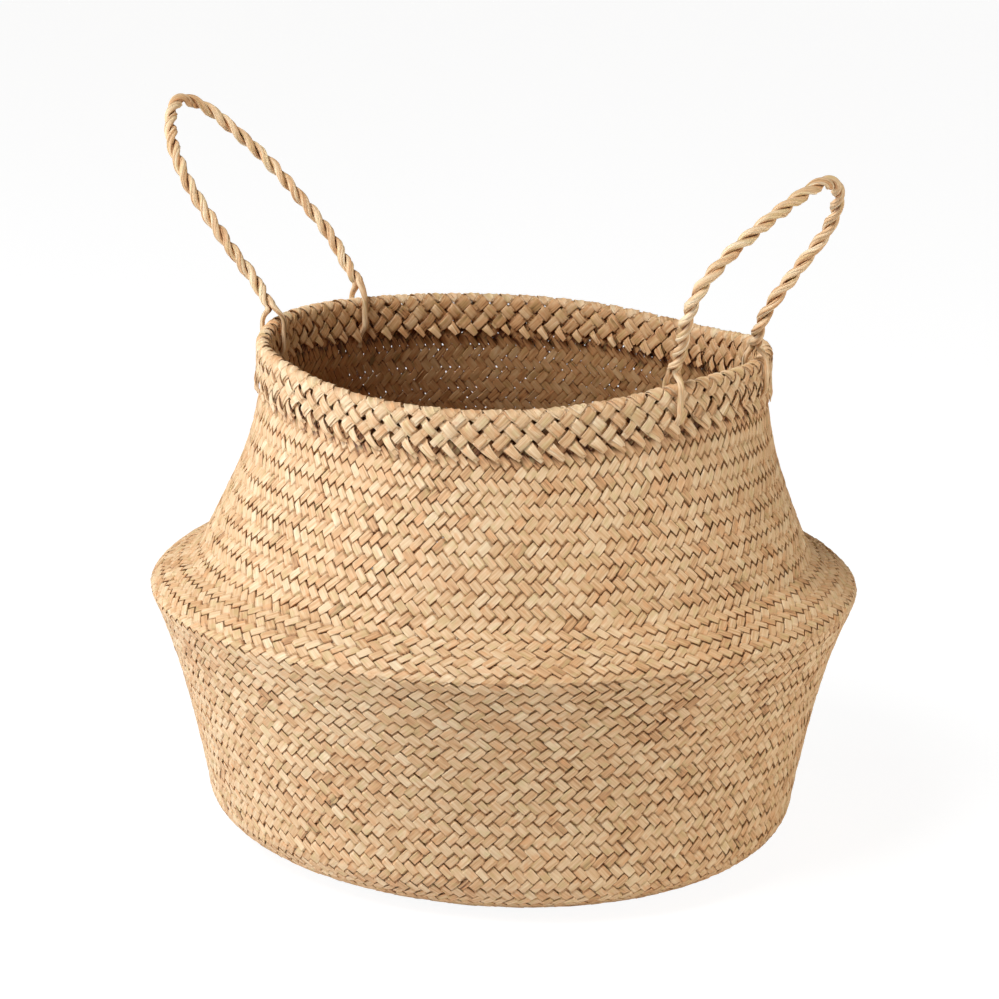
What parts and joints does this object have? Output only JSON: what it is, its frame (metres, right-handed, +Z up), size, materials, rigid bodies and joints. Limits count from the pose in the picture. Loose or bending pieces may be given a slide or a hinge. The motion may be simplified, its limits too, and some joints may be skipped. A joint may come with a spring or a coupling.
{
  "type": "sedge basket",
  "caption": "Round belly basket plaited from split sedge, with a pinched neck, a toothed collar folded over the rim and swinging handles of twisted rope.",
  "frame": {"origin": "centre of the base, on the surface that the basket stands on", "axes": "+Z up, +X towards the right handle, -X towards the left handle, -Y towards the front"},
  "size_m": [0.3751, 0.348, 0.3505],
  "materials": {
    "base_sedge": "matt dried sedge strips, plaited",
    "wall_sedge": "matt dried sedge strips, plaited",
    "collar_sedge": "matt dried sedge strips in pairs, plaited",
    "rope_sedge": "dried sedge twisted into rope, slight sheen"
  },
  "bodies": {
    "basket": {"base_mat": "base_sedge", "lower_wall": "wall_sedge", "upper_wall": "wall_sedge", "rim_collar": "collar_sedge", "right_front_root": "rope_sedge", "right_rear_root": "rope_sedge", "left_front_root": "rope_sedge", "left_rear_root": "rope_sedge"},
    "right_handle": {"right_handle_ply_a": "rope_sedge", "right_handle_ply_b": "rope_sedge"},
    "left_handle": {"left_handle_ply_a": "rope_sedge", "left_handle_ply_b": "rope_sedge"}
  },
  "joints": [
    {"name": "right_handle_swing", "type": "hinge", "parent": "basket", "child": "right_handle", "pos_m": [0.1172, -0.00614, 0.2565], "axis": [0.0523, 0.9986, 0], "range_deg": [-109, 61]},
    {"name": "left_handle_swing", "type": "hinge", "parent": "basket", "child": "left_handle", "pos_m": [-0.11618, -0.00243, 0.2565], "axis": [0.0209, -0.9998, 0], "range_deg": [-122, 48]}
  ]
}
